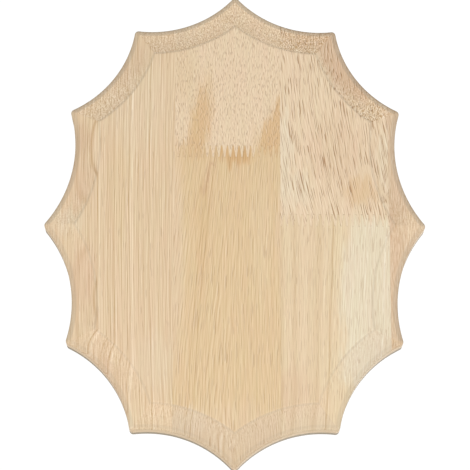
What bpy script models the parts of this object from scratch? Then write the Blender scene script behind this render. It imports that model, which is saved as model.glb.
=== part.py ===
"""A scalloped oval plaque of glued-up solid wood, made to hang flat on a wall.

The plaque stands upright as it hangs: X runs to the right, Z runs up, and the front faces -Y.
The origin is at the middle of the flat back, which lies on y = 0. All lengths are in metres.
"""

from math import atan2, cos, pi, radians, sin

import bmesh
import bpy
from mathutils import Vector

# Outline: twelve tips on an oval, joined by hollow arcs
CORNER_HEIGHT = 0.3073  # from the top tip to the bottom tip, before the tips are eased
CORNER_WIDTH = 0.2392  # from the left tip to the right tip, before the tips are eased
SHOULDER_ANGLE = radians(32.3)  # place of the shoulder tips on the oval, measured from the top tip
FLANK_ANGLE = radians(60.7)  # place of the flank tips on the oval, measured from the top tip
SCALLOP_HALF_SWEEP = radians(28.9)  # half of the angle that each hollow arc turns through
TIP_RADIUS = 0.0025  # round on each tip, seen from the front

# Section through the board and its edge
THICKNESS = 0.018
COVE_WIDTH = 0.0149  # from the rounded edge to the crisp line around the flat front panel
COVE_DEPTH = 0.0030  # how far the cove falls below the front panel
FRONT_ROUND = 0.0020  # round between the cove and the side wall
BACK_EASE = 0.0008  # narrow flat that breaks the back edge

# Staves, laid from the right tip towards the left; the left stave takes up the rest
EDGE_STAVE_WIDTH = 0.0233  # from the right tip to the first glue line
RIGHT_STAVE_WIDTH = 0.0680
MIDDLE_STAVE_WIDTH = 0.0661
GLUE_GAP = 0.0003

# Finger joints, where two lengths of wood meet end to end in one stave
FINGER_PITCH = 0.0037  # nominal, adjusted so that whole fingers fill the stave
FINGER_LENGTH = 0.0075
FINGER_TIP = 0.0007  # flat on the end of each finger
FINGER_SHOULDER = 0.0008  # flat land beside the first and the last finger
MIDDLE_JOINT_HEIGHT = 0.0476  # above the middle of the plaque
RIGHT_JOINT_HEIGHT = 0.0026

# Fineness of the facets
ARC_STEPS = 12  # along each hollow arc
TIP_STEPS = 4  # around each eased tip
COVE_STEPS = 5
ROUND_STEPS = 4
SMOOTH_ANGLE = radians(25)
MERGE_DISTANCE = 0.000001

SANDED_ROUGHNESS = 0.6

# The blocks that mark out the staves run past the board by this much
BLOCK_MARGIN = 0.010

# Glue lines, and the span that each stave fills between two of them
EDGE_LINE = CORNER_WIDTH / 2 - EDGE_STAVE_WIDTH
RIGHT_LINE = EDGE_LINE - RIGHT_STAVE_WIDTH
MIDDLE_LINE = RIGHT_LINE - MIDDLE_STAVE_WIDTH
LEFT_SPAN = (-CORNER_WIDTH / 2 - BLOCK_MARGIN, MIDDLE_LINE)
MIDDLE_SPAN = (MIDDLE_LINE, RIGHT_LINE)
RIGHT_SPAN = (RIGHT_LINE, EDGE_LINE)
EDGE_SPAN = (EDGE_LINE, CORNER_WIDTH / 2 + BLOCK_MARGIN)
LOW = -CORNER_HEIGHT / 2 - BLOCK_MARGIN
HIGH = CORNER_HEIGHT / 2 + BLOCK_MARGIN


def clear_scene():
    """Remove every object of the scene."""
    for old in list(bpy.data.objects):
        bpy.data.objects.remove(old, do_unlink=True)


def linear(hex_colour):
    """The linear colour of an sRGB hex value such as #E2C9A6."""
    channels = (int(hex_colour[place : place + 2], 16) / 255 for place in (1, 3, 5))
    return [c / 12.92 if c <= 0.04045 else ((c + 0.055) / 1.055) ** 2.4 for c in channels]


def wood(name, hex_colour):
    """A plain sanded wood, without stain or varnish."""
    material = bpy.data.materials.new(name)
    material.use_nodes = True
    shader = material.node_tree.nodes["Principled BSDF"]
    shader.inputs["Base Color"].default_value = (*linear(hex_colour), 1.0)
    shader.inputs["Roughness"].default_value = SANDED_ROUGHNESS
    shader.inputs["Metallic"].default_value = 0.0
    return material


def tip_corners():
    """The twelve sharp corners on the oval, clockwise from the top as seen from the front."""
    quarter = (0.0, SHOULDER_ANGLE, FLANK_ANGLE)
    right = [*quarter, pi / 2, *(pi - angle for angle in reversed(quarter[1:]))]
    angles = [*right, *(angle + pi for angle in right)]
    return [Vector((CORNER_WIDTH / 2 * sin(a), CORNER_HEIGHT / 2 * cos(a))) for a in angles]


def scallop_circles(corners):
    """Centre and radius of the circle that hollows the outline between each corner and the next."""
    circles = []
    for start, end in zip(corners, corners[1:] + corners[:1]):
        chord = end - start
        radius = chord.length / 2 / sin(SCALLOP_HALF_SWEEP)
        outward = Vector((-chord.y, chord.x)).normalized()
        circles.append(((start + end) / 2 + outward * radius * cos(SCALLOP_HALF_SWEEP), radius))
    return circles


def crossing(first, second, inset, near):
    """Where two scallop circles, both grown by the inset, cross; the crossing nearest to a point."""
    (centre_a, radius_a), (centre_b, radius_b) = first, second
    apart = centre_b - centre_a
    along = ((radius_a + inset) ** 2 - (radius_b + inset) ** 2 + apart.length_squared) / (2 * apart.length)
    across = ((radius_a + inset) ** 2 - along**2) ** 0.5
    unit = apart.normalized()
    side = Vector((-unit.y, unit.x)) * across
    foot = centre_a + unit * along
    return min((foot + side, foot - side), key=lambda point: (point - near).length)


def arc_points(centre, start, end, steps):
    """Points from start to end on the short arc around a centre, both ends included."""
    first = atan2(start.y - centre.y, start.x - centre.x)
    sweep = (atan2(end.y - centre.y, end.x - centre.x) - first + pi) % (2 * pi) - pi
    radius = (start - centre).length
    turns = (first + sweep * step / steps for step in range(steps + 1))
    return [centre + radius * Vector((cos(turn), sin(turn))) for turn in turns]


def outline(inset):
    """The plaque's outline moved inwards by the inset, as a closed ring of points in X and Z."""
    corners = tip_corners()
    circles = scallop_circles(corners)
    count = len(corners)
    left_over = max(TIP_RADIUS - inset, 0.0)
    leave, reach = [], []
    for index, corner in enumerate(corners):
        before, after = circles[index - 1], circles[index]
        tip = crossing(before, after, max(inset, TIP_RADIUS), corner)
        reach.append(tip + (before[0] - tip).normalized() * left_over)
        leave.append(tip + (after[0] - tip).normalized() * left_over)
    ring = []
    for index in range(count):
        following = (index + 1) % count
        ring += arc_points(circles[index][0], leave[index], reach[following], ARC_STEPS)
        if left_over:
            tip = crossing(circles[index], circles[following], TIP_RADIUS, corners[following])
            ring += arc_points(tip, reach[following], leave[following], TIP_STEPS)[1:-1]
        else:
            ring += [reach[following]] * (TIP_STEPS - 1)
    return ring


def edge_section():
    """Inset and height of each ring, from the back face round the edge to the front panel."""
    rim = THICKNESS - COVE_DEPTH
    section = [(BACK_EASE, 0.0), (0.0, BACK_EASE)]
    for step in range(ROUND_STEPS + 1):
        turn = pi / 2 * step / ROUND_STEPS
        section.append((FRONT_ROUND * (1 - cos(turn)), rim - FRONT_ROUND * (1 - sin(turn))))
    # The cove is level at the rounded edge and steepest at the front panel
    cove_turn = 2 * atan2(COVE_DEPTH, COVE_WIDTH)
    cove_radius = COVE_WIDTH / sin(cove_turn)
    for step in range(1, COVE_STEPS + 1):
        turn = cove_turn * step / COVE_STEPS
        section.append((FRONT_ROUND + cove_radius * sin(turn), rim + cove_radius * (1 - cos(turn))))
    return section


def board_mesh():
    """The whole board before it is parted into staves."""
    shape = bmesh.new()
    rings = [
        [shape.verts.new((point.x, -height, point.y)) for point in outline(inset)]
        for inset, height in edge_section()
    ]
    count = len(rings[0])
    for lower, upper in zip(rings, rings[1:]):
        for index in range(count):
            following = (index + 1) % count
            shape.faces.new((lower[index], lower[following], upper[following], upper[index]))
    shape.faces.new(rings[0])
    shape.faces.new(rings[-1])
    bmesh.ops.remove_doubles(shape, verts=shape.verts, dist=MERGE_DISTANCE)
    bmesh.ops.recalc_face_normals(shape, faces=shape.faces)
    mesh = bpy.data.meshes.new("board")
    shape.to_mesh(mesh)
    shape.free()
    mesh.shade_smooth()
    mesh.set_sharp_from_angle(angle=SMOOTH_ANGLE)
    return mesh


def finger_line(left, right, height, edge_side):
    """The zigzag middle line of a finger joint, from left to right.

    edge_side is 1 where the line is high at both ends, so that the lower wood has the outermost
    fingers, and -1 where the upper wood has them.
    """
    periods = max(1, round((right - left) / FINGER_PITCH))
    flats = 2 * FINGER_SHOULDER + (2 * periods - 1) * FINGER_TIP
    run = (right - left - flats) / (2 * periods)
    points = [Vector((left, height + edge_side * FINGER_LENGTH / 2))]
    for flat in range(2 * periods + 1):
        side = edge_side if flat % 2 == 0 else -edge_side
        level = height + side * FINGER_LENGTH / 2
        if flat:
            points.append(Vector((points[-1].x + run, level)))
        width = FINGER_SHOULDER if flat in (0, 2 * periods) else FINGER_TIP
        points.append(Vector((points[-1].x + width, level)))
    return points


def shifted_line(points, distance):
    """A line moved sideways by a distance, up where it is positive, with mitred corners."""
    normals = []
    for start, end in zip(points, points[1:]):
        step = (end - start).normalized()
        normals.append(Vector((-step.y, step.x)))
    moved = [points[0] + normals[0] * distance]
    for point, before, after in zip(points[1:-1], normals, normals[1:]):
        moved.append(point + (before + after) * distance / (1 + before.dot(after)))
    moved.append(points[-1] + normals[-1] * distance)
    return moved


def joint_side(left, right, height, edge_side, distance):
    """One wood's side of a finger joint, set back from the middle line and from both glue lines."""
    line = shifted_line(finger_line(left, right, height, edge_side), distance)
    line[0].x = left + GLUE_GAP / 2
    line[-1].x = right - GLUE_GAP / 2
    return line


def plain_end(left, right, height):
    """A straight end of a stave's block, set back from both glue lines."""
    return [Vector((left + GLUE_GAP / 2, height)), Vector((right - GLUE_GAP / 2, height))]


def block(name, bottom, top):
    """A see-through block between two lines in X and Z that marks out one stave."""
    shape = bmesh.new()
    border = [*bottom, *reversed(top)]
    corners = [shape.verts.new((point.x, BLOCK_MARGIN, point.y)) for point in border]
    face = shape.faces.new(corners)
    pushed = bmesh.ops.extrude_face_region(shape, geom=[face])["geom"]
    front = [item for item in pushed if isinstance(item, bmesh.types.BMVert)]
    bmesh.ops.translate(shape, verts=front, vec=(0.0, -(THICKNESS + 2 * BLOCK_MARGIN), 0.0))
    bmesh.ops.recalc_face_normals(shape, faces=shape.faces)
    mesh = bpy.data.meshes.new(name)
    shape.to_mesh(mesh)
    shape.free()
    guide = bpy.data.objects.new(name, mesh)
    guide.hide_render = True
    guide.display_type = "WIRE"
    bpy.context.scene.collection.objects.link(guide)
    return guide


def stave(name, board, guide, material, parent):
    """One stave: the board, kept only inside its block."""
    piece = bpy.data.objects.new(name, board.copy())
    piece.data.name = name
    piece.data.materials.append(material)
    piece.parent = parent
    guide.parent = parent
    bpy.context.scene.collection.objects.link(piece)
    keep = piece.modifiers.new("keep inside block", "BOOLEAN")
    keep.operation = "INTERSECT"
    keep.solver = "EXACT"
    keep.object = guide


def left_stave(board, parent):
    """The wide stave on the left, which runs from top to bottom in one length."""
    guide = block("left_block", plain_end(*LEFT_SPAN, LOW), plain_end(*LEFT_SPAN, HIGH))
    stave("left_stave", board, guide, wood("left wood", "#E2C9A6"), parent)


def upper_middle_stave(board, parent):
    """The upper length of the middle stave, above its finger joint."""
    joint = joint_side(*MIDDLE_SPAN, MIDDLE_JOINT_HEIGHT, 1, GLUE_GAP / 2)
    guide = block("upper_middle_block", joint, plain_end(*MIDDLE_SPAN, HIGH))
    stave("upper_middle_stave", board, guide, wood("upper middle wood", "#E3CAA8"), parent)


def lower_middle_stave(board, parent):
    """The lower length of the middle stave, which has the outermost fingers of the joint."""
    joint = joint_side(*MIDDLE_SPAN, MIDDLE_JOINT_HEIGHT, 1, -GLUE_GAP / 2)
    guide = block("lower_middle_block", plain_end(*MIDDLE_SPAN, LOW), joint)
    stave("lower_middle_stave", board, guide, wood("lower middle wood", "#E0C39B"), parent)


def upper_right_stave(board, parent):
    """The upper length of the right stave, which has the outermost fingers of the joint."""
    joint = joint_side(*RIGHT_SPAN, RIGHT_JOINT_HEIGHT, -1, GLUE_GAP / 2)
    guide = block("upper_right_block", joint, plain_end(*RIGHT_SPAN, HIGH))
    stave("upper_right_stave", board, guide, wood("upper right wood", "#E0C7A6"), parent)


def lower_right_stave(board, parent):
    """The lower length of the right stave, below its finger joint."""
    joint = joint_side(*RIGHT_SPAN, RIGHT_JOINT_HEIGHT, -1, -GLUE_GAP / 2)
    guide = block("lower_right_block", plain_end(*RIGHT_SPAN, LOW), joint)
    stave("lower_right_stave", board, guide, wood("lower right wood", "#E7D9BC"), parent)


def edge_stave(board, parent):
    """The narrow stave on the right, which carries the right tip."""
    guide = block("edge_block", plain_end(*EDGE_SPAN, LOW), plain_end(*EDGE_SPAN, HIGH))
    stave("edge_stave", board, guide, wood("edge wood", "#D9BEA0"), parent)


def build():
    """Make the six staves of the plaque under one parent."""
    clear_scene()
    plaque = bpy.data.objects.new("plaque", None)
    bpy.context.scene.collection.objects.link(plaque)
    board = board_mesh()
    left_stave(board, plaque)
    upper_middle_stave(board, plaque)
    lower_middle_stave(board, plaque)
    upper_right_stave(board, plaque)
    lower_right_stave(board, plaque)
    edge_stave(board, plaque)


build()
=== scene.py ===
"""The dressed model of a scalloped oval wall plaque, made of glued-up and sanded rubberwood.

The plaque stands upright as it hangs: X runs to the right, Z runs up and the front faces -Y. The
origin is at the middle of the flat back. Lengths are in metres, and in millimetres where a name
ends in _mm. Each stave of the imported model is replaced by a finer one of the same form.
"""

import logging
from dataclasses import dataclass, field
from enum import Enum
from functools import partial
from itertools import starmap
from math import atan2, cos, pi, radians, sin

import bmesh
import bpy
from mathutils import Matrix, Vector


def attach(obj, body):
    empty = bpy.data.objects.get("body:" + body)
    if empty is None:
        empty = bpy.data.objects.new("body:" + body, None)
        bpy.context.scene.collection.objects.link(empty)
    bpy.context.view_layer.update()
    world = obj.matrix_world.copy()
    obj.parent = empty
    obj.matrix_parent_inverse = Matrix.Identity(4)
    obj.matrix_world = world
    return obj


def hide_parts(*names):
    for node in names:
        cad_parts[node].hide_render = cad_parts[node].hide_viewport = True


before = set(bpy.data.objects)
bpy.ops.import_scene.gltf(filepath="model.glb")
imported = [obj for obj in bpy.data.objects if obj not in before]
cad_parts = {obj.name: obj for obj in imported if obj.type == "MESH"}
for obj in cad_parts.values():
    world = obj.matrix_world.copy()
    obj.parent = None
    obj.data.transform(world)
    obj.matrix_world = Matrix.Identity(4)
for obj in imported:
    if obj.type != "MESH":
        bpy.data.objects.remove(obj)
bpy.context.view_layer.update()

LOG = logging.getLogger("plaque")
METRES_PER_MM = 0.001
Y_AXIS = Vector((0.0, 1.0, 0.0))

Socket = bpy.types.NodeSocket
Tree = bpy.types.NodeTree

# The places of the colour sockets on the mix node
MIX_A, MIX_B, MIX_OUT = 6, 7, 2
WHITE = (1.0, 1.0, 1.0, 1.0)

# Where a pattern, a depth or a direction counts as nothing, and where as full
WANDER_SPAN = (0.25, 0.75)
BLUSH_SPAN = (0.3, 0.7)
FLECK_SPAN = 0.07
ROUTED_MM = (0.02, 0.4)  # below the front panel
CROSSCUT = (0.25, 0.80)  # cosine of the angle between the fibres and the edge's direction
FACING_UP = (-0.8, 0.8)
FACING_SIDE = (0.95, 0.60)  # how far the surface faces back
FINER_SHARE = 0.6  # strength of each finer pattern, next to the one before

# What counts as on a cut, as level with a flat and as square to it
ON_CUT = 1e-7
ON_LEVEL = 1e-6
SQUARE_ON = 0.99999


def linear(hex_colour: str) -> tuple[float, float, float, float]:
    """Turn an sRGB colour to linear light.

    Args:
        hex_colour: The colour as #RRGGBB.

    Returns:
        Red, green, blue and an alpha of one.
    """
    channels = (int(hex_colour[place : place + 2], 16) / 255 for place in (1, 3, 5))
    return (*(c / 12.92 if c <= 0.04045 else ((c + 0.055) / 1.055) ** 2.4 for c in channels), 1.0)


def bare_tree(owner: bpy.types.Material | bpy.types.World) -> Tree:
    """Give a material or a world an empty node tree.

    Args:
        owner: The material or the world.

    Returns:
        Its node tree.
    """
    owner.use_nodes = True
    owner.node_tree.nodes.clear()
    return owner.node_tree


def add_node(
    tree: Tree, kind: str, inputs: dict | tuple = (), output: int | str = 0, **settings
) -> Socket | None:
    """Add a node with its settings and links.

    Args:
        tree: The node tree that takes the node.
        kind: The type name of the shader node, without its prefix.
        inputs: Values or output sockets for its inputs, in order, or by name or place.
        output: Which of its outputs is wanted, by name or place.
        **settings: Values of its own properties.

    Returns:
        That output, or nothing from a node that has none.
    """
    node = tree.nodes.new(f"ShaderNode{kind}")
    for name, value in settings.items():
        setattr(node, name, value)
    for socket, value in inputs.items() if isinstance(inputs, dict) else enumerate(inputs):
        if isinstance(value, Socket):
            tree.links.new(value, node.inputs[socket])
        else:
            node.inputs[socket].default_value = value
    return node.outputs[output] if node.outputs else None


def uneven(
    tree: Tree, space: Socket, spacing_mm: tuple[float, float, float], detail: float = 0.0, output: int = 0
) -> Socket:
    """Lay an uneven pattern, stretched to its spacing along each axis.

    Args:
        tree: The node tree.
        space: The coordinates in millimetres.
        spacing_mm: Spacing of the pattern.
        detail: How many finer patterns are laid over it.
        output: The texture's output: 0 for one value, 1 for three.

    Returns:
        The pattern, about one half on average.
    """
    shrink = tuple(1 / spacing for spacing in spacing_mm)
    stretched = add_node(tree, "VectorMath", (space, shrink), operation="MULTIPLY")
    look = {"Vector": stretched, "Scale": 1.0, "Detail": detail, "Roughness": FINER_SHARE}
    return add_node(tree, "TexNoise", look, output)


class Tint(Enum):
    """The colours that sanded rubberwood has, and those of the painted highlight and painted shade on it,
    as sRGB.
    """

    CREAM = "#E2C8A5"
    OATMEAL = "#E8D0B0"
    IVORY = "#E8DABF"
    STRAW = "#E6D0AC"
    GOLDEN = "#E0C49B"
    TAN = "#DAB78A"
    HONEY = "#D2AA78"
    BROWN = "#C6A181"
    PINK = "#DDBE9E"
    BISCUIT = "#DBC0A1"
    ASH = "#D6C4A9"
    DUSK = "#CDB8A0"
    PORE = "#98693A"
    # painted highlight beside each open pore
    PORE_HIGHLIGHT = "#F2E2C8"
    # Grey of the painted shade and painted shadow around the edge
    PAINTED_SHADE = "#A89A85"


@dataclass(frozen=True)
class Grain:
    """How the fibres and the growth rings of a stave run.

    Fields:
        lean: Sideways run of the fibres to the left, per unit of height.
        bend_mm: Change of the lean, per millimetre of height.
        fan: Extra run to the right per unit of height, and the places in X in mm where it starts
            and is full.
        dip: How far the fibres rise out of the front, per unit of height.
        ring_slope: Sideways shift of the growth rings at mid width, per unit of depth.
        ring_turn_mm: Change of that slope, per millimetre to the right.
        wander_mm: How far the lines stray from their straight course.
        plank_mm: Where in its plank the stave was cut, so that no two staves are alike.
    """

    lean: float = 0.0
    bend_mm: float = 0.0
    fan: tuple[float, float, float] = (0.0, 0.0, 1.0)
    dip: float = 0.03
    ring_slope: float = 0.5
    ring_turn_mm: float = 0.0
    wander_mm: float = 1.0
    plank_mm: float = 0.0


@dataclass(frozen=True)
class Figure:
    """The fine lines along the fibres, the bands of the growth rings and the end-grain speckle.

    The fine lines are drawn about twice as coarse as real ones, which would vanish at the size of
    the picture.

    Fields:
        line_mm: Spacing of the fine lines across, into and along the fibres.
        line_strength: How strongly the fine lines lighten and darken the wood.
        line_shift: Step from the painted lit side to the painted shaded side of a fine line, as a share
        of its spacing.
        band_mm, band_strength: The same for the bands, laid across the growth rings.
        speckle_strength: The same for the speckle where the fibres are cut across.
        speckle_share_below: The share of the speckle on an edge that faces down, as painted light flattens
            it.
        bolder_below, fainter_above: How much the named lines gain on end grain that faces down,
            and lose where it faces up.
    """

    line_mm: tuple[float, float, float] = (0.9, 0.6, 20.0)
    line_strength: float = 0.8
    line_shift: float = 0.6
    band_mm: tuple[float, float, float] = (4.0, 1.0, 200.0)
    band_strength: float = 0.10
    speckle_strength: float = 0.8
    speckle_share_below: float = 0.3
    bolder_below: float = 0.3
    fainter_above: float = 0.7


@dataclass(frozen=True)
class GrainLine:
    """One line of the grain: its place on the front panel at mid height, and its strength."""

    place_mm: float
    half_width_mm: float
    strength: float


@dataclass(frozen=True)
class Patch:
    """A soft-edged patch of another colour.

    Fields:
        tint, strength: Its colour, and how far the wood takes it on.
        centre_mm, reach_mm: Its centre and its reach in X and Z.
        turn_deg: Its lean to the right.
        core: The share of its reach that has the full strength.
        buried_mm: Its centre and its reach in Y, for a patch that lies below the front panel.
    """

    tint: Tint
    strength: float
    centre_mm: tuple[float, float]
    reach_mm: tuple[float, float]
    turn_deg: float = 0.0
    core: float = 0.35
    buried_mm: tuple[float, float] = (-9.0, 1e5)


@dataclass(frozen=True)
class Pores:
    """The open vessels, which show as short dark flecks on a sanded face.

    Fields:
        spacing_mm: Spacing of the pattern across, into and along the fibres.
        sparse: Level of the pattern above which a fleck shows; a higher level leaves fewer.
        crowding: How strongly the flecks gather in places.
        strength: How far the flecks reach towards the pore colour.
        highlight_strength, highlight_shift: Strength and sideways step of the painted highlight beside a
        fleck, as shares of the fleck's own strength and spacing.
    """

    spacing_mm: tuple[float, float, float] = (0.65, 0.45, 6.0)
    sparse: float = 0.62
    crowding: float = 0.12
    strength: float = 0.4
    highlight_strength: float = 0.7
    highlight_shift: float = 0.9


@dataclass(frozen=True)
class GrainSpace:
    """What a wood is drawn by: sockets that follow its grain and the board's edge.

    Fields:
        tree: The material's node tree.
        place: The plain place in millimetres.
        rings: The distance across the growth rings in millimetres.
        fibres: The place in millimetres, laid along the fibres.
        end: One where the routed edge cuts across the fibres; nothing where it runs along them, and
            on the front panel.
        up: How far the edge faces up, from nothing to one.
    """

    tree: Tree
    place: Socket
    rings: Socket
    fibres: Socket
    end: Socket
    up: Socket


@dataclass(frozen=True)
class SandedRubberwood:
    """Solid rubberwood, planed, routed and sanded, with no stain or varnish.

    It is matt and cream to tan, with fine straight lines, short open pores and, where the routed
    edge cuts across the fibres, a darker and speckled end grain.

    Fields:
        name, tint, grain, figure, lines, patches, pores: What the wood is called and how it looks.
        end_tint, end_strength: Its colour where the edge cuts across the fibres.
        roughness, gloss, refraction: Of the sanded surface.
        pore_depth, relief: Depth of the open pores in metres, and how strongly it shows.
        panel_depth_mm: From the back to the front panel.
        wander_mm, fray_mm, blush_mm, crowd_mm, speckle_mm: Spacings of the patterns that bend the
            lines, fray the patches, tinge the wood, gather the pores and speckle the end grain.
        fray_reach_mm: How far the fraying moves the patches' borders.
        yellower, pinker: The tinges, as shares of the colour.
        darker, lighter: The darkest and lightest tone of the figure, as shares of the colour.
        painted_light_and_shade: Bands of painted light and shade around the edge: their colour, middle and
        reach in Y, the reach at full strength, and the strength where the edge faces down and up.
    """

    name: str
    tint: Tint
    grain: Grain = Grain()
    figure: Figure = Figure()
    lines: tuple[GrainLine, ...] = ()
    patches: tuple[Patch, ...] = ()
    pores: Pores = Pores()
    end_tint: Tint = Tint.TAN
    end_strength: float = 0.25
    roughness: float = 0.68
    gloss: float = 0.35
    refraction: float = 1.45
    pore_depth: float = 0.00012
    relief: float = 0.2
    panel_depth_mm: float = 18.0
    wander_mm: tuple[float, float, float] = (28.0, 28.0, 75.0)
    fray_mm: tuple[float, float, float] = (3.0, 3.0, 20.0)
    blush_mm: tuple[float, float, float] = (5.0, 5.0, 30.0)
    crowd_mm: tuple[float, float, float] = (9.0, 9.0, 24.0)
    speckle_mm: tuple[float, float, float] = (0.8, 0.8, 0.9)
    fray_reach_mm: tuple[float, float, float] = (12.0, 0.0, 30.0)
    yellower: tuple[float, float, float, float] = (0.990, 1.008, 0.995, 1.0)
    pinker: tuple[float, float, float, float] = (1.010, 0.992, 1.005, 1.0)
    darker: tuple[float, float, float, float] = (0.74, 0.64, 0.52, 1.0)
    lighter: tuple[float, float, float, float] = (1.26, 1.40, 1.60, 1.0)
    painted_light_and_shade: tuple[tuple[Tint, float, float, float, float, float], ...] = (
        # painted shade: a thin dark line along the arris, a little stronger where the edge faces up
        (Tint.PAINTED_SHADE, -17.62, 0.37, 0.15, 0.15, 0.22),
        # painted shade on the front round, strongest where the edge faces up, away from the light below
        (Tint.PAINTED_SHADE, -14.0, 1.035, 1.004, 0.16, 0.50),
        # painted light on the wall where the edge faces down, towards the light below; none where it faces
        # up
        (Tint.OATMEAL, -9.5, 4.0, 3.5, 0.9, 0.0),
        # painted shadow over the back part of the wall, strongest where the edge faces down
        (Tint.PAINTED_SHADE, 0.0, 6.8, 6.0, 0.95, 0.20),
    )

    def build(self) -> bpy.types.Material:
        """Make the material and return it."""
        material = bpy.data.materials.new(self.name)
        space = self._grain_space(bare_tree(material))
        add = partial(add_node, space.tree)
        colour = self._patched(space)
        share = add("Math", (space.end, self.end_strength), operation="MULTIPLY")
        ends = linear(self.end_tint.value)
        colour = add("Mix", {0: share, MIX_A: colour, MIX_B: ends}, MIX_OUT, data_type="RGBA")
        colour = self._figured(space, colour)
        colour, pore = self._pored(space, colour)
        colour = self._edged(space, colour)
        sunk = {"Strength": self.relief, "Distance": self.pore_depth, "Height": pore}
        look = {"Base Color": colour, "Roughness": self.roughness, "Normal": add("Bump", sunk, invert=True)}
        gleam = {"IOR": self.refraction, "Specular IOR Level": self.gloss}
        shader = add("BsdfPrincipled", {**look, **gleam})
        add("OutputMaterial", {"Surface": shader})
        return material

    def _grain_space(self, tree: Tree) -> GrainSpace:
        """Lay coordinates in millimetres that follow the grain.

        Args:
            tree: The material's empty node tree.

        Returns:
            What the wood is drawn by.
        """
        grain, add = self.grain, partial(add_node, tree)
        scale = (1 / METRES_PER_MM,) * 3
        place = add("Mapping", {"Vector": add("TexCoord", output="Object"), "Scale": scale})
        x, y, z = add("SeparateXYZ", (place,)).node.outputs
        wander = uneven(tree, place, self.wander_mm, detail=1.0)
        stray = add("MapRange", (wander, *WANDER_SPAN, -grain.wander_mm, grain.wander_mm))
        bend = add("Math", (z, grain.bend_mm, grain.lean), operation="MULTIPLY_ADD")
        run, start, full = grain.fan
        fan = add("MapRange", {0: x, 1: start, 2: full, 4: -run}, interpolation_type="SMOOTHSTEP")
        slant = add("Math", (bend, fan), operation="ADD")
        upright = add("Math", (z, slant, x), operation="MULTIPLY_ADD")
        across = add("Math", (upright, stray), operation="ADD")
        depth = add("Math", (y, self.panel_depth_mm), operation="ADD")
        slope = add("Math", (x, grain.ring_turn_mm, grain.ring_slope), operation="MULTIPLY_ADD")
        rings = add("Math", (depth, slope, across), operation="MULTIPLY_ADD")
        risen = add("Math", (z, grain.dip, y), operation="MULTIPLY_ADD")
        moved = add("Math", (risen, grain.plank_mm), operation="ADD")
        fibres = add("CombineXYZ", (across, moved, z))
        return GrainSpace(tree, place, rings, fibres, *self._end_grain(tree, y))

    def _end_grain(self, tree: Tree, y: Socket) -> tuple[Socket, Socket]:
        """Measure how far the routed edge cuts across the fibres, and how far it faces up.

        Args:
            tree: The material's node tree.
            y: The place in Y in millimetres.

        Returns:
            The end and the up of the grain space.
        """
        add = partial(add_node, tree)
        routed = add("MapRange", (y, *(depth - self.panel_depth_mm for depth in ROUTED_MM)))
        normal = add("TexCoord", output="Normal")
        level = add("VectorMath", (normal, (1.0, 0.0, 1.0)), operation="MULTIPLY")
        outward = add("VectorMath", (level,), operation="NORMALIZE")
        along = Vector((-self.grain.lean, 0.0, 1.0)).normalized()
        cut = add("VectorMath", (outward, along), "Value", operation="DOT_PRODUCT")
        steep = add("Math", (cut,), operation="ABSOLUTE")
        across = add("MapRange", (steep, *CROSSCUT), interpolation_type="SMOOTHSTEP")
        end = add("Math", (routed, across), operation="MULTIPLY")
        rise = add("SeparateXYZ", (outward,), 2)
        return end, add("MapRange", (rise, *FACING_UP))

    def _patched(self, space: GrainSpace) -> Socket:
        """Lay the broad patches of colour over the ground colour.

        Args:
            space: What the wood is drawn by.

        Returns:
            The colour.
        """
        add = partial(add_node, space.tree)
        frayed = uneven(space.tree, space.place, self.fray_mm, detail=3.0, output=1)
        centred = add("VectorMath", (frayed, (0.5, 0.5, 0.5)), operation="SUBTRACT")
        moved = (centred, self.fray_reach_mm, space.place)
        frayed_place = add("VectorMath", moved, operation="MULTIPLY_ADD")
        colour = add("RGB")
        colour.default_value = linear(self.tint.value)
        for patch in self.patches:
            (x, z), (wide, high), (deep, thick) = patch.centre_mm, patch.reach_mm, patch.buried_mm
            turn = (0.0, radians(patch.turn_deg), 0.0)
            laid = (frayed_place, (x, deep, z), turn, (wide, thick, high))
            near = add("Mapping", laid, vector_type="TEXTURE")
            away = add("VectorMath", (near,), "Value", operation="LENGTH")
            faded = {0: away, 1: 1.0, 2: patch.core, 4: patch.strength}
            share = add("MapRange", faded, interpolation_type="SMOOTHSTEP")
            tint = linear(patch.tint.value)
            colour = add("Mix", {0: share, MIX_A: colour, MIX_B: tint}, MIX_OUT, data_type="RGBA")
        blush = uneven(space.tree, space.place, self.blush_mm, detail=2.0)
        ramp = add("ValToRGB", (blush,))
        first, last = ramp.node.color_ramp.elements
        first.position, last.position = BLUSH_SPAN
        first.color, last.color = self.yellower, self.pinker
        tinged = {0: 1.0, MIX_A: colour, MIX_B: ramp}
        return add("Mix", tinged, MIX_OUT, data_type="RGBA", blend_type="MULTIPLY")

    def _figured(self, space: GrainSpace, colour: Socket) -> Socket:
        """Draw the fine lines, the bands, the named lines and the speckle of the end grain.

        Args:
            space: What the wood is drawn by.
            colour: The colour so far.

        Returns:
            The colour.
        """
        figure, tree = self.figure, space.tree
        add = partial(add_node, tree)
        # Each fine line gets a painted lit side and a painted shaded side: the pattern less its shifted
        # copy
        aside = (figure.line_mm[0] * figure.line_shift, 0.0, 0.0)
        beside = add("VectorMath", (space.fibres, aside), operation="ADD")
        lit = uneven(tree, space.fibres, figure.line_mm)
        shaded = uneven(tree, beside, figure.line_mm)
        fine = add("Math", (lit, shaded), operation="SUBTRACT")
        z = add("SeparateXYZ", (space.place,), 2)
        ring_space = add("CombineXYZ", (space.rings, self.grain.plank_mm, z))
        band = uneven(tree, ring_space, figure.band_mm, detail=2.0)
        speckle = uneven(tree, space.place, self.speckle_mm)
        centred = add("Math", (speckle, 0.5), operation="SUBTRACT")
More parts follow.
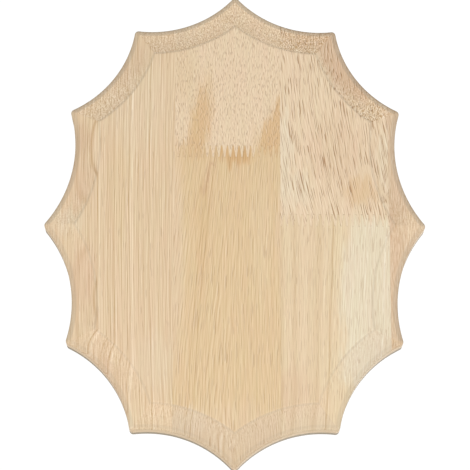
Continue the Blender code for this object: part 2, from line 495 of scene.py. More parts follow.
        # painted light: the speckle fades where the edge faces down, towards the light
        speckle_lighting = add("MapRange", {0: space.up, 3: figure.speckle_share_below})
        rough = add("Math", (space.end, speckle_lighting), operation="MULTIPLY")
        dots = add("Math", (centred, rough), operation="MULTIPLY")
        tone = 0.5 - figure.band_strength / 2
        strengths = (figure.line_strength, figure.band_strength, figure.speckle_strength)
        for pattern, strength in zip((fine, band, dots), strengths):
            tone = add("Math", (pattern, strength, tone), operation="MULTIPLY_ADD")
        change = add("MapRange", {0: space.up, 3: figure.bolder_below, 4: -figure.fainter_above})
        bolder = add("Math", (space.end, change, 1.0), operation="MULTIPLY_ADD")
        for line in self.lines:
            off = add("Math", (space.rings, line.place_mm), operation="SUBTRACT")
            away = add("Math", (off,), operation="ABSOLUTE")
            faded = {0: away, 1: line.half_width_mm, 2: 0.0, 4: line.strength}
            drawn = add("MapRange", faded, interpolation_type="SMOOTHSTEP")
            tone = add("Math", (drawn, bolder, tone), operation="MULTIPLY_ADD")
        ramp = add("ValToRGB", (tone,))
        elements = ramp.node.color_ramp.elements
        elements[0].color, elements[1].color = self.darker, self.lighter
        elements.new(0.5).color = WHITE
        toned = {0: 1.0, MIX_A: colour, MIX_B: ramp}
        return add("Mix", toned, MIX_OUT, data_type="RGBA", blend_type="MULTIPLY")

    def _pored(self, space: GrainSpace, colour: Socket) -> tuple[Socket, Socket]:
        """Draw the open pores as short flecks along the fibres, each with a painted highlight on one side.

        Args:
            space: What the wood is drawn by.
            colour: The colour so far.

        Returns:
            The colour, and the flecks alone.
        """
        pores, add = self.pores, partial(add_node, space.tree)
        crowd = uneven(space.tree, space.place, self.crowd_mm, detail=1.0)
        level = pores.sparse + pores.crowding / 2
        # First a painted highlight beside each fleck, then the dark fleck itself
        for tint, share, shift in (
            (Tint.PORE_HIGHLIGHT, pores.strength * pores.highlight_strength, pores.spacing_mm[0] * pores.highlight_shift),
            (Tint.PORE, pores.strength, 0.0),
        ):
            beside = add("VectorMath", (space.fibres, (shift, 0.0, 0.0)), operation="ADD")
            vessels = uneven(space.tree, beside, pores.spacing_mm)
            crowded = add("Math", (crowd, pores.crowding, vessels), operation="MULTIPLY_ADD")
            fleck = add("MapRange", (crowded, level, level + FLECK_SPAN))
            taken = add("Math", (fleck, share), operation="MULTIPLY")
            filled = {0: taken, MIX_A: colour, MIX_B: linear(tint.value)}
            colour = add("Mix", filled, MIX_OUT, data_type="RGBA")
        return colour, fleck

    def _edged(self, space: GrainSpace, colour: Socket) -> Socket:
        """Paint shade along the arris and on the front round, light on the wall below it and shadow along
        the back edge.

        Args:
            space: What the wood is drawn by.
            colour: The colour so far.

        Returns:
            The colour.
        """
        add = partial(add_node, space.tree)
        y = add("SeparateXYZ", (space.place,), 1)
        back = add("SeparateXYZ", (add("TexCoord", output="Normal"),), 1)
        side = add("MapRange", (back, *FACING_SIDE))
        # The bands paint light on the wall and shade on the arris, the round and the back edge, by how far
        # the edge faces up
        for tint, middle, reach, full, down_share, up_share in self.painted_light_and_shade:
            from_middle = add("Math", (y, middle), operation="SUBTRACT")
            off = add("Math", (from_middle,), operation="ABSOLUTE")
            band = add("MapRange", (off, reach, full), interpolation_type="SMOOTHSTEP")
            strength = add("MapRange", {0: space.up, 3: down_share, 4: up_share})
            painted_share = add("Math", (band, strength), operation="MULTIPLY")
            share = add("Math", (painted_share, side), operation="MULTIPLY")
            taken = {0: share, MIX_A: colour, MIX_B: linear(tint.value)}
            colour = add("Mix", taken, MIX_OUT, data_type="RGBA")
        return colour


@dataclass(frozen=True)
class MattWhite:
    """White distemper on a flat floor, which throws soft light back up without a gleam."""

    name: str = "matt white floor"
    colour: str = "#F4F2EE"
    shade: str = "#F0EEEA"

    def build(self) -> bpy.types.Material:
        """Make the material with a faint mottle, and return it."""
        material = bpy.data.materials.new(self.name)
        add = partial(add_node, bare_tree(material))
        ramp = add("ValToRGB", (add("TexNoise", {"Scale": 2.0, "Detail": 2.0}),))
        first, last = ramp.node.color_ramp.elements
        first.color, last.color = linear(self.shade), linear(self.colour)
        shader = add("BsdfPrincipled", {"Base Color": ramp, "Roughness": 0.9})
        add("OutputMaterial", {"Surface": shader})
        return material


# The wood of the left stave: straight fine lines that step aside on the cove
LEFT_WOOD = SandedRubberwood(
    name="sanded rubberwood, straight lined",
    tint=Tint.CREAM,
    grain=Grain(
        lean=0.014, bend_mm=-0.00014, dip=0.01, ring_slope=-2.3, ring_turn_mm=-0.05, wander_mm=0.25
    ),
    figure=Figure(line_mm=(0.8, 0.9, 30.0), line_strength=0.64, speckle_strength=1.1),
    lines=tuple(starmap(GrainLine, (
        (-85.5, 0.5, -0.30), (-84.2, 0.9, 0.14), (-75.3, 0.5, -0.34), (-74.1, 0.7, 0.14),
        (-65.8, 0.5, -0.24), (-64.3, 1.2, 0.20), (-53.4, 0.55, -0.32), (-52.4, 0.7, 0.11),
        (-91.0, 1.4, -0.12), (-79.2, 0.5, -0.20), (-77.5, 0.5, -0.16), (-70.4, 0.5, -0.20),
        (-60.0, 0.5, -0.18), (-57.0, 0.5, -0.16), (-47.0, 0.5, -0.16), (-43.0, 0.5, -0.14),
        (-41.0, 0.5, -0.12),
    ))),
    patches=(
        Patch(Tint.IVORY, 0.20, (-62, 84), (30, 50)),
        Patch(Tint.PINK, 0.6, (-97, 30), (12, 24)),
        Patch(Tint.PINK, 0.6, (-95, -32), (12, 30)),
        Patch(Tint.IVORY, 0.35, (-104, 2), (13, 12)),
        Patch(Tint.PINK, 0.9, (-78, -94), (16, 40), -40, 0.5, (-9, 9)),
        Patch(Tint.BROWN, 0.35, (-96, 56), (7, 16)),
        Patch(Tint.BROWN, 0.36, (-66, 104), (40, 34), 0, 0.6, (-9, 9)),
        Patch(Tint.GOLDEN, 0.35, (-73, 20), (7, 60)),
        Patch(Tint.IVORY, 0.20, (-50, -88), (18, 26)),
        Patch(Tint.STRAW, 0.6, (-50, -124), (26, 16), buried_mm=(-9, 14)),
    ),
    pores=Pores(spacing_mm=(0.45, 0.5, 10.0), sparse=0.67, strength=0.25),
    end_tint=Tint.BISCUIT,
    end_strength=0.35,
)

# The wood above the middle joint: short pores and two tan heart streaks
UPPER_MIDDLE_WOOD = SandedRubberwood(
    name="sanded rubberwood, heart streaked",
    tint=Tint.OATMEAL,
    grain=Grain(lean=0.02, dip=0.10, ring_slope=1.0, wander_mm=0.6, plank_mm=37.0),
    figure=Figure(line_mm=(0.8, 0.5, 5.0), line_strength=0.46, speckle_strength=1.1),
    patches=(
        Patch(Tint.TAN, 0.85, (-23, 62), (9.5, 46), 9, 0.3),
        Patch(Tint.TAN, 0.9, (37.5, 56), (22, 120), 22, 0.82),
        Patch(Tint.TAN, 0.5, (-30, 45), (14, 14)),
        Patch(Tint.CREAM, 0.8, (-32, 100), (12, 30)),
        Patch(Tint.ASH, 0.5, (-34, 122), (26, 18), 0, 0.5, (-9, 9.5)),
        Patch(Tint.PINK, 0.8, (12, 128), (14, 16), -20, 0.5, (-9, 8.5)),
        Patch(Tint.TAN, 0.40, (17, 55), (8, 11)),
    ),
    pores=Pores(spacing_mm=(0.5, 0.45, 3.2), sparse=0.60, strength=0.34),
    end_strength=0.15,
)

# The wood below the middle joint: golden, with lines that fan out to the left
LOWER_MIDDLE_WOOD = SandedRubberwood(
    name="sanded rubberwood, golden",
    tint=Tint.GOLDEN,
    grain=Grain(
        lean=-0.038, bend_mm=-0.0003, fan=(0.065, 4.0, -20.0), dip=0.02, ring_slope=0.6, wander_mm=0.6,
        plank_mm=74.0,
    ),
    figure=Figure(line_mm=(0.8, 0.7, 14.0), line_strength=0.50, speckle_strength=0.5),
    lines=tuple(starmap(GrainLine, (
        (-17.0, 0.5, -0.30), (-20.5, 0.5, -0.24), (14.0, 0.6, -0.12),
    ))),
    patches=(
        Patch(Tint.BROWN, 0.6, (-13, 30), (7, 20), 26, 0.5),
        Patch(Tint.GOLDEN, 1.0, (9, 5), (30, 51), 0, 0.96),
        Patch(Tint.TAN, 1.0, (0, 47), (15, 12), 0, 0.5),
        Patch(Tint.HONEY, 0.7, (0, 47), (13, 7), 0, 0.4),
        Patch(Tint.TAN, 0.4, (-24, 48), (12, 9)),
        Patch(Tint.CREAM, 1.0, (-38, -20), (10, 95)),
        Patch(Tint.CREAM, 0.6, (0, -128), (40, 22)),
        Patch(Tint.IVORY, 0.35, (-28, -125), (15, 11)),
        Patch(Tint.TAN, 0.3, (-20, 0), (6, 50)),
        Patch(Tint.STRAW, 0.35, (16, -10), (9, 60)),
        Patch(Tint.CREAM, 0.6, (29, 0), (5, 50)),
    ),
    pores=Pores(spacing_mm=(0.45, 0.5, 12.0), sparse=0.63, strength=0.28),
    end_tint=Tint.DUSK,
    end_strength=0.5,
)

# The wood above the right joint: bold pores that lean, and a brown top edge
UPPER_RIGHT_WOOD = SandedRubberwood(
    name="sanded rubberwood, bold pored",
    tint=Tint.OATMEAL,
    grain=Grain(lean=0.19, bend_mm=-0.0004, dip=0.03, ring_slope=0.5, plank_mm=111.0),
    figure=Figure(line_mm=(0.8, 0.5, 8.0), line_strength=0.50, speckle_strength=2.1),
    patches=(
        Patch(Tint.PINK, 0.40, (64, 48), (24, 34)),
        Patch(Tint.IVORY, 0.6, (31.5, 42), (6, 50)),
        Patch(Tint.IVORY, 0.4, (93, 45), (6, 25)),
        Patch(Tint.IVORY, 0.35, (82, -2), (26, 11)),
        Patch(Tint.TAN, 0.55, (79, 22), (15, 13)),
        Patch(Tint.IVORY, 0.45, (41, 22), (9, 18)),
        Patch(Tint.BROWN, 0.60, (62, 104), (80, 60), 0, 0.72, (-9, 8.6)),
        Patch(Tint.BISCUIT, 0.8, (66, 116), (8, 12)),
        Patch(Tint.PINK, 0.5, (62, 104), (40, 14), 35, buried_mm=(-14, 5)),
    ),
    pores=Pores(spacing_mm=(0.45, 0.5, 14.0), sparse=0.62, crowding=0.08, strength=0.70),
)

# The wood below the right joint: the palest, with straight fine lines
LOWER_RIGHT_WOOD = SandedRubberwood(
    name="sanded rubberwood, pale",
    tint=Tint.STRAW,
    grain=Grain(
        lean=-0.042, fan=(-0.04, 60.0, 30.0), dip=0.02, ring_slope=0.4, wander_mm=0.5, plank_mm=148.0
    ),
    figure=Figure(line_mm=(0.8, 0.7, 14.0), line_strength=0.44, speckle_strength=0.45),
    lines=tuple(starmap(GrainLine, (
        (29.3, 1.4, -0.16), (37.0, 2.6, -0.11), (43.5, 3.5, 0.05), (52.5, 2.8, -0.10),
        (57.0, 2.0, 0.06), (61.3, 1.2, -0.26), (94.8, 0.9, 0.14),
    ))),
    patches=(
        Patch(Tint.PINK, 0.25, (46, -50), (20, 90)),
        Patch(Tint.IVORY, 0.85, (85, -46), (24, 66), 0, 0.68),
        Patch(Tint.IVORY, 0.8, (82, -90), (22, 24), -35, 0.5),
        Patch(Tint.CREAM, 0.7, (40, -112), (26, 26)),
        Patch(Tint.PINK, 0.4, (36, -104), (13, 22)),
    ),
    pores=Pores(spacing_mm=(0.45, 0.5, 9.0), sparse=0.64, strength=0.26),
    end_tint=Tint.DUSK,
    end_strength=0.35,
)

# The wood of the narrow stave on the right: pinkish, finely flecked
EDGE_WOOD = SandedRubberwood(
    name="sanded rubberwood, pinkish",
    tint=Tint.BISCUIT,
    grain=Grain(dip=0.04, ring_slope=0.8, plank_mm=185.0),
    figure=Figure(line_mm=(0.9, 0.6, 5.0), line_strength=0.66, speckle_strength=1.0),
    patches=(
        Patch(Tint.PINK, 0.5, (99, -20), (5, 80)),
        Patch(Tint.OATMEAL, 0.8, (113, -2), (12, 17)),
    ),
    pores=Pores(spacing_mm=(0.6, 0.45, 4.0), sparse=0.64, strength=0.16),
)


@dataclass(frozen=True)
class ScallopedOval:
    """The outline: twelve tips on an oval, joined by hollow arcs.

    Fields:
        height, width: From tip to opposite tip, before the tips are eased.
        shoulder, flank: Places of the side tips on the oval, measured from the top tip.
        half_sweep: Half of the angle that each hollow arc turns through.
        tip_radius: Round on each tip, seen from the front.
        crisp_radius: What is left of that round where the coves meet in a mitre.
        arc_steps, tip_steps: Facets along each arc and around each tip.
    """

    height: float = 0.3073
    width: float = 0.2392
    shoulder: float = radians(32.3)
    flank: float = radians(60.7)
    half_sweep: float = radians(28.9)
    tip_radius: float = 0.0025
    crisp_radius: float = 0.00005
    arc_steps: int = 32
    tip_steps: int = 8

    def tips(self) -> list[Vector]:
        """Return the twelve sharp tips, clockwise from the top as seen from the front."""
        quarter = (0.0, self.shoulder, self.flank)
        right = [*quarter, pi / 2, *(pi - angle for angle in reversed(quarter[1:]))]
        angles = [*right, *(angle + pi for angle in right)]
        return [Vector((self.width / 2 * sin(a), self.height / 2 * cos(a))) for a in angles]

    def circles(self) -> list[tuple[Vector, float]]:
        """Return the centre and radius of the circle behind each hollow arc."""
        tips = self.tips()
        found = []
        for start, end in zip(tips, tips[1:] + tips[:1]):
            chord = end - start
            radius = chord.length / 2 / sin(self.half_sweep)
            outward = Vector((-chord.y, chord.x)).normalized()
            found.append(((start + end) / 2 + outward * radius * cos(self.half_sweep), radius))
        return found

    def crossing(
        self, first: tuple[Vector, float], second: tuple[Vector, float], inset: float, near: Vector
    ) -> Vector:
        """Find where two neighbouring circles, both grown by an inset, cross.

        Args:
            first: Centre and radius of one circle.
            second: Centre and radius of the other.
            inset: How far both are grown.
            near: The crossing nearest to this point is taken.

        Returns:
            The crossing in X and Z.
        """
        (centre_a, radius_a), (centre_b, radius_b) = first, second
        apart = centre_b - centre_a
        long_a, long_b = radius_a + inset, radius_b + inset
        along = (long_a**2 - long_b**2 + apart.length_squared) / (2 * apart.length)
        across = (long_a**2 - along**2) ** 0.5
        unit = apart.normalized()
        foot = centre_a + unit * along
        side = Vector((-unit.y, unit.x)) * across
        return min((foot + side, foot - side), key=lambda point: (point - near).length)

    def trace(self, shape: bmesh.types.BMesh, inset: float, height: float) -> list[bmesh.types.BMEdge]:
        """Draw the outline, moved inwards and forwards, by spinning a vertex along its arcs.

        Args:
            shape: The mesh that takes the ring.
            inset: How far the ring lies inside the outline.
            height: How far the ring lies in front of the back.

        Returns:
            The edges of the closed ring.
        """
        tips, circles = self.tips(), self.circles()
        radius = max(self.tip_radius - inset, self.crisp_radius)
        eased, leave, reach = [], [], []
        for place, tip in enumerate(tips):
            before, after = circles[place - 1], circles[place]
            centre = self.crossing(before, after, inset + radius, tip)
            eased.append(centre)
            leave.append(centre + (after[0] - centre).normalized() * radius)
            reach.append(centre + (before[0] - centre).normalized() * radius)
        first = last = shape.verts.new((leave[0].x, -height, leave[0].y))
        known = set(shape.edges)
        for place in range(len(tips)):
            following = (place + 1) % len(tips)
            runs = (
                (circles[place][0], leave[place], reach[following], self.arc_steps),
                (eased[following], reach[following], leave[following], self.tip_steps),
            )
            for centre, start, end, steps in runs:
                first_arm, last_arm = start - centre, end - centre
                turned = atan2(last_arm.y, last_arm.x) - atan2(first_arm.y, first_arm.x)
                sweep = (turned + pi) % (2 * pi) - pi
                spun = bmesh.ops.spin(
                    shape, geom=[last], cent=(centre.x, -height, centre.y), axis=Y_AXIS, angle=-sweep,
                    steps=steps, use_merge=False, use_duplicate=False,
                )
                last = next(item for item in spun["geom_last"] if isinstance(item, bmesh.types.BMVert))
        bmesh.ops.pointmerge(shape, verts=[first, last], merge_co=first.co.copy())
        return [edge for edge in shape.edges if edge not in known]


@dataclass(frozen=True)
class EdgeSection:
    """The section through the board's edge: wall, round and cove.

    Fields:
        thickness: From the back to the front panel.
        cove_width, cove_depth: From the rounded edge to the arris of the front panel.
        front_round: Round between the cove and the wall.
        back_ease: Round that breaks the back edge.
        arris_ease: What sanding takes off the arris, along each side of it.
        arris_bend: Where that bevel bends, as shares of it inwards and below the panel.
        ease_steps, round_steps, cove_steps: Facets of the back edge, the round and the cove.
    """

    thickness: float = 0.018
    cove_width: float = 0.0149
    cove_depth: float = 0.0030
    front_round: float = 0.0020
    back_ease: float = 0.0008
    arris_ease: float = 0.00025
    arris_bend: tuple[float, float] = (0.1, 0.15)
    ease_steps: int = 3
    round_steps: int = 8
    cove_steps: int = 12

    def places(self) -> list[tuple[float, float]]:
        """Return inset and height of each ring, from the back round the edge to the front."""
        rim = self.thickness - self.cove_depth
        ease = [pi / 2 * step / self.ease_steps for step in range(self.ease_steps + 1)]
        found = [(self.back_ease * (1 - sin(t)), self.back_ease * (1 - cos(t))) for t in ease]
        quarter = [pi / 2 * step / self.round_steps for step in range(self.round_steps + 1)]
        found += [(self.front_round * (1 - cos(t)), rim - self.front_round * (1 - sin(t))) for t in quarter]
        sweep = 2 * atan2(self.cove_depth, self.cove_width)
        radius = self.cove_width / sin(sweep)
        eased = sweep * (1 - self.arris_ease / self.cove_width)
        turns = [eased * step / self.cove_steps for step in range(1, self.cove_steps + 1)]
        found += [(self.front_round + radius * sin(t), rim + radius * (1 - cos(t))) for t in turns]
        arris = self.front_round + self.cove_width
        inwards, below = (self.arris_ease * share for share in self.arris_bend)
        found.append((arris + inwards, self.thickness - below))
        found.append((arris + self.arris_ease, self.thickness))
        return found


@dataclass(frozen=True)
class Blank:
    """The whole board before it is parted into staves."""

    outline: ScallopedOval = ScallopedOval()
    section: EdgeSection = EdgeSection()

    def build(self) -> bmesh.types.BMesh:
        """Bridge the outline's rings into a closed board, and return its mesh."""
        shape = bmesh.new()
        rings = [self.outline.trace(shape, inset, height) for inset, height in self.section.places()]
        for lower, upper in zip(rings, rings[1:]):
            bmesh.ops.bridge_loops(shape, edges=lower + upper)
        caps = []
        for ring in (rings[0], rings[-1]):
            caps += bmesh.ops.contextual_create(shape, geom=ring)["faces"]
        bmesh.ops.triangulate(shape, faces=caps, ngon_method="EAR_CLIP")
        bmesh.ops.recalc_face_normals(shape, faces=shape.faces)
        return shape


class EndFingers(Enum):
    """Which wood has the outermost fingers of a finger joint: the lower or the upper."""

    LOWER_WOOD = 1
    UPPER_WOOD = -1


@dataclass(frozen=True)
class FingerJoint:
    """A finger joint, where two lengths of wood meet end to end in one stave.

    Fields:
        left, right: The glue lines on both sides.
        height: The middle of the joint.
        end_fingers: Which wood has the outermost fingers.
        nominal_pitch: Adjusted so that whole fingers fill the stave.
        length, tip, shoulder: Length of a finger, and the flats on its end and beside the last one.
        margin: How far the cutting block reaches past the board.
    """

    left: float
    right: float
    height: float
    end_fingers: EndFingers
    nominal_pitch: float = 0.0037
    length: float = 0.0075
    tip: float = 0.0007
    shoulder: float = 0.0008
    margin: float = 0.010

    def draw(self, shape: bmesh.types.BMesh, far: float) -> list[bmesh.types.BMEdge]:
        """Draw the border of one wood's block by extruding a vertex from corner to corner.

        Args:
            shape: The mesh that takes the border.
            far: Height of the block's plain end.

        Returns:
            The edges of the closed border.
        """
        side = self.end_fingers.value
        width = self.right - self.left
        fingers = max(1, round(width / self.nominal_pitch))
        run = (width - 2 * self.shoulder - (2 * fingers - 1) * self.tip) / (2 * fingers)
        land = (self.margin + self.shoulder, 0.0)
        steps = [land]
        for flank in range(2 * fingers):
            rise = side * self.length * (1 if flank % 2 else -1)
            steps += [(run, rise), (self.tip, 0.0)]
        first = self.height + side * self.length / 2
        steps[-1:] = [land, (0.0, far - first), (-width - 2 * self.margin, 0.0)]
        start = corner = shape.verts.new((self.left - self.margin, self.margin, first))
        for across, rise in steps:
            corner = bmesh.ops.extrude_vert_indiv(shape, verts=[corner])["verts"][0]
            bmesh.ops.translate(shape, verts=[corner], vec=(across, 0.0, rise))
        shape.edges.new((corner, start))
        return list(shape.edges)

    def block(self, name: str, far: float, depth: float) -> bpy.types.Object:
        """Make the block that keeps one wood's side of the joint.

        Args:
            name: Name of the block.
            far: Height of the block's plain end, above or below the joint.
            depth: Thickness of the board.

        Returns:
            The block, which is removed after the cut.
        """
        shape = bmesh.new()
        border = self.draw(shape, far)
        face = bmesh.ops.contextual_create(shape, geom=border)["faces"]
        pushed = bmesh.ops.extrude_face_region(shape, geom=face)["geom"]
        front = [item for item in pushed if isinstance(item, bmesh.types.BMVert)]
        bmesh.ops.translate(shape, verts=front, vec=(0.0, -(depth + 2 * self.margin), 0.0))
        bmesh.ops.recalc_face_normals(shape, faces=shape.faces)
        return linked_object(name, shape)


def linked_object(name: str, shape: bmesh.types.BMesh) -> bpy.types.Object:
    """Turn a mesh in the making into an object of the scene.

    Args:
        name: Name of the object and of its mesh.
        shape: The mesh in the making, which is freed.

    Returns:
        The object, at the origin.
    """
    mesh = bpy.data.meshes.new(name)
    shape.to_mesh(mesh)
    shape.free()
    made = bpy.data.objects.new(name, mesh)
    bpy.context.scene.collection.objects.link(made)
    return made


@dataclass
class Stave:
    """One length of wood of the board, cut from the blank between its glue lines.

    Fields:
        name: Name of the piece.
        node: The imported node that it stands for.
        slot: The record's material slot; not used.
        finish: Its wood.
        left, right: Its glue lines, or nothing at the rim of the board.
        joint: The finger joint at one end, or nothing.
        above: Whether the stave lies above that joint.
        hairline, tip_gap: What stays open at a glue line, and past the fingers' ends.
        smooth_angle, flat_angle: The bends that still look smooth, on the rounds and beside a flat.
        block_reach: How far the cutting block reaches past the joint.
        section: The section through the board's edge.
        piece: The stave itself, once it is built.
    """

    name: str
    node: str
    slot: str
    finish: SandedRubberwood
    left: float | None = None
    right: float | None = None
    joint: FingerJoint | None = None
    above: bool = False
    hairline: float = 0.00002
    tip_gap: float = 0.00015
    smooth_angle: float = radians(25)
    flat_angle: float = radians(0.5)
    block_reach: float = 0.25
    section: EdgeSection = EdgeSection()
    piece: bpy.types.Object | None = field(default=None, init=False)

    def build(self, blank: bmesh.types.BMesh) -> None:
        """Cut the stave from the blank.

        Args:
            blank: The whole board, which is left as it is.
        """
        shape = blank.copy()
        for place, outward in ((self.left, -1.0), (self.right, 1.0)):
            if place is not None:
                self._cut(shape, place - outward * self.hairline / 2, outward)
        self.piece = linked_object(self.name, shape)
        if self.joint is not None:
            self._cut_fingers(self.joint)
        self._smooth()

    def _cut(self, shape: bmesh.types.BMesh, place: float, outward: float) -> None:
        """Cut along a glue line and close the cut.

        Args:
            shape: The mesh that is cut.
            place: The cut's place in X.
            outward: One to take away what lies to the right, minus one for the left.
        """
        cut = bmesh.ops.bisect_plane(
            shape, geom=[*shape.verts, *shape.edges, *shape.faces], dist=ON_CUT,
            plane_co=(place, 0.0, 0.0), plane_no=(outward, 0.0, 0.0), clear_outer=True,
        )
        border = [item for item in cut["geom_cut"] if isinstance(item, bmesh.types.BMEdge)]
        bmesh.ops.triangle_fill(shape, edges=border, use_beauty=True, use_dissolve=False)
        bmesh.ops.recalc_face_normals(shape, faces=shape.faces)

    def _cut_fingers(self, joint: FingerJoint) -> None:
        """Cut the fingers with an exact Boolean, and keep its result as the mesh.

        Args:
            joint: The finger joint at the end of the stave.
        """
        side = 1.0 if self.above else -1.0
        far = joint.height + side * self.block_reach
        block = joint.block(f"{self.name}_block", far, self.section.thickness)
        block.data.transform(Matrix.Translation((0.0, 0.0, side * self.tip_gap / 2)))
        keep = self.piece.modifiers.new("keep inside block", "BOOLEAN")
        keep.operation = "INTERSECT"
        keep.solver = "EXACT"
        keep.object = block
        depsgraph = bpy.context.evaluated_depsgraph_get()
        cut = bpy.data.meshes.new_from_object(self.piece.evaluated_get(depsgraph))
        self.piece.modifiers.clear()
        self.piece.data = cut
        cut.name = self.name
        bpy.data.objects.remove(block, do_unlink=True)

    def _smooth(self) -> None:
        """Smooth the coves and rounds, and keep the flats, the cuts and the arris crisp."""
        shape = bmesh.new()
        shape.from_mesh(self.piece.data)
        for face in shape.faces:
            face.smooth = True
        for edge in shape.edges:
            if not edge.is_manifold:
                continue
            angle = edge.calc_face_angle()
            flat = any(self._is_flat(face) for face in edge.link_faces)
            edge.smooth = angle < (self.flat_angle if flat else self.smooth_angle)
        shape.to_mesh(self.piece.data)
        shape.free()

    def _is_flat(self, face: bmesh.types.BMFace) -> bool:
        """Tell whether a face lies on the back or on the front panel.

        Args:
            face: A face of the stave.

        Returns:
            Whether it is level with either flat and square to it.
        """
        depth = -face.calc_center_median().y
        level = min(abs(depth), abs(depth - self.section.thickness)) < ON_LEVEL
        return level and abs(face.normal.y) > SQUARE_ON

    def dress(self) -> None:
        """Give the stave its wood, and set it on the body in place of its node."""
        self.piece.data.materials.clear()
        self.piece.data.materials.append(self.finish.build())
        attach(self.piece, "root")
        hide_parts(self.node)
        LOG.info("%s: %d faces, %s", self.name, len(self.piece.data.polygons), self.finish.name)


@dataclass
class Plaque:
    """The glued-up board: four rows of staves, two of them jointed end to end.

    Fields:
        blank: The whole board.
        edge_width, right_width, middle_width: Widths of the staves, from the right tip to the left.
        middle_joint_height, right_joint_height: Places of the finger joints.
        staves: The six lengths of wood, once they are built.
    """

    blank: Blank = Blank()
    edge_width: float = 0.0233
    right_width: float = 0.0680
    middle_width: float = 0.0661
    middle_joint_height: float = 0.0476
    right_joint_height: float = 0.0026
    staves: list[Stave] = field(default_factory=list)

    def build(self) -> None:
        """Make the six staves."""
        edge = self.blank.outline.width / 2 - self.edge_width
        right = edge - self.right_width
        middle = right - self.middle_width
        middle_joint = FingerJoint(middle, right, self.middle_joint_height, EndFingers.LOWER_WOOD)
        right_joint = FingerJoint(right, edge, self.right_joint_height, EndFingers.UPPER_WOOD)
        self.staves = [
            Stave(f"{place}_wood_stave", f"{place}_stave", f"{place}_wood", *cuts)
            for place, *cuts in (
                ("left", LEFT_WOOD, None, middle),
                ("upper_middle", UPPER_MIDDLE_WOOD, middle, right, middle_joint, True),
                ("lower_middle", LOWER_MIDDLE_WOOD, middle, right, middle_joint),
                ("upper_right", UPPER_RIGHT_WOOD, right, edge, right_joint, True),
                ("lower_right", LOWER_RIGHT_WOOD, right, edge, right_joint),
                ("edge", EDGE_WOOD, edge),
            )
        ]
        board = self.blank.build()
        for stave in self.staves:
            stave.build(board)
        board.free()

    def dress(self) -> None:
        """Give each stave its wood and its place on the body."""
        for stave in self.staves:
            stave.dress()


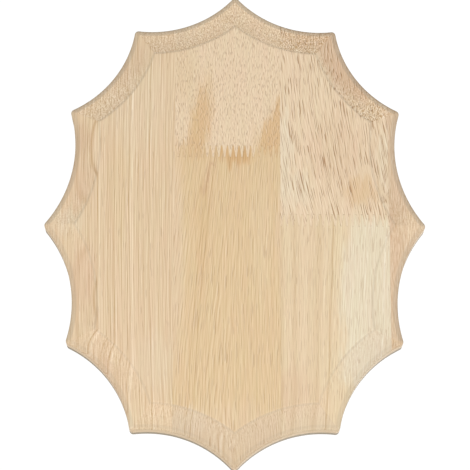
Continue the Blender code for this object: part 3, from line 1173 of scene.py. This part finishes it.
@dataclass
class Studio:
    """Plain soft light and a pale floor, as far below the plaque as it hangs above one.

    Fields:
        floor_height, floor_side: Of the floor.
        ambient, overhead: Strength of the even light from the sides and below, and from above.
        ground: Strength of the white ground that the camera sees.
        key_power, key_side, key_distance, key_below: The soft box in front of the plaque, and the
            angle that it stands below the board's normal.
        fill_power, fill_place: The soft box behind the plaque.
    """

    floor_height: float = -1.5
    floor_side: float = 9.0
    ambient: float = 0.925
    overhead: float = 0.36
    ground: float = 1.05
    key_power: float = 13.2
    key_side: float = 1.2
    key_distance: float = 1.65
    key_below: float = radians(38.0)
    fill_power: float = 10.0
    fill_place: tuple[float, float, float] = (0.7, 2.0, 0.0)

    def build(self) -> None:
        """Make the floor, the world and the lights."""
        self._floor()
        self._world()
        key_place = Vector((0.0, -cos(self.key_below), -sin(self.key_below))) * self.key_distance
        self._soft_box("key", key_place, self.key_side, self.key_power)
        self._soft_box("back_fill", Vector(self.fill_place), self.key_side, self.fill_power)
        LOG.info("studio: floor at %.2f m, ambient %.2f", self.floor_height, self.ambient)

    def _floor(self) -> None:
        """Lay the floor."""
        shape = bmesh.new()
        bmesh.ops.create_grid(shape, x_segments=4, y_segments=4, size=self.floor_side / 2)
        bmesh.ops.translate(shape, verts=shape.verts, vec=(0.0, 0.0, self.floor_height))
        floor = linked_object("floor", shape)
        floor.data.materials.append(MattWhite().build())

    def _world(self) -> None:
        """Light the scene evenly, in front of a white ground."""
        world = bpy.data.worlds.new("even white room")
        add = partial(add_node, bare_tree(world))
        up = add("SeparateXYZ", (add("TexCoord", output="Generated"),), 2)
        strength = add("MapRange", {0: up, 3: self.ambient, 4: self.overhead})
        room, ground = (
            add("Background", {"Color": WHITE, "Strength": power}) for power in (strength, self.ground)
        )
        seen = add("LightPath", output="Is Camera Ray")
        add("OutputWorld", {"Surface": add("MixShader", (seen, room, ground))})
        bpy.context.scene.world = world

    def _soft_box(self, name: str, place: Vector, side: float, power: float) -> None:
        """Hang a square soft box that faces the plaque.

        Args:
            name: Name of the light.
            place: Its middle.
            side: Its side length.
            power: Its power in watts.
        """
        light = bpy.data.lights.new(name, "AREA")
        light.size = side
        light.energy = power
        box = bpy.data.objects.new(name, light)
        box.location = place
        box.rotation_euler = (-place).to_track_quat("-Z", "Y").to_euler()
        bpy.context.scene.collection.objects.link(box)


@dataclass
class PhotoCamera:
    """The camera at the photograph's place: a little below the plaque, with a long lens.

    Fields:
        distance: From the middle of the back.
        below: How far it stands below the board's normal.
        aside: How far it stands to the left of it.
        roll: Turn about its line of sight.
        aim: The point that it looks at.
        frame_width: What the picture takes in at that distance.
        sensor_width, clip: The sensor's width in mm, and the nearest and farthest that is drawn.
    """

    distance: float = 1.3327
    below: float = radians(16.0)
    aside: float = 0.008
    roll: float = 0.0015
    aim: Vector = field(default_factory=lambda: Vector((0.0002, 0.0005, -0.0019)))
    frame_width: float = 0.29616
    sensor_width: float = 36.0
    clip: tuple[float, float] = (0.05, 50.0)

    def build(self) -> None:
        """Make the camera and give it to the scene."""
        data = bpy.data.cameras.new("photo_camera")
        data.sensor_width = self.sensor_width
        data.lens = self.sensor_width * self.distance / self.frame_width
        data.clip_start, data.clip_end = self.clip
        camera = bpy.data.objects.new("photo_camera", data)
        level = cos(self.aside)
        away = Vector((-sin(self.aside), -cos(self.below) * level, -sin(self.below) * level))
        camera.location = away * self.distance
        look = (self.aim - camera.location).to_track_quat("-Z", "Y").to_matrix()
        camera.rotation_euler = (look @ Matrix.Rotation(self.roll, 3, "Z")).to_euler()
        bpy.context.scene.collection.objects.link(camera)
        bpy.context.scene.camera = camera
        LOG.info("camera: lens %.1f mm", data.lens)


def main() -> None:
    """Build the plaque, the studio and the camera."""
    logging.basicConfig(level=logging.INFO, format="%(name)s: %(message)s")
    scene = bpy.context.scene
    scene.view_settings.view_transform = "Standard"
    scene.view_settings.look = "None"
    plaque = Plaque()
    plaque.build()
    plaque.dress()
    Studio().build()
    PhotoCamera().build()


if __name__ == "__main__":
    main()
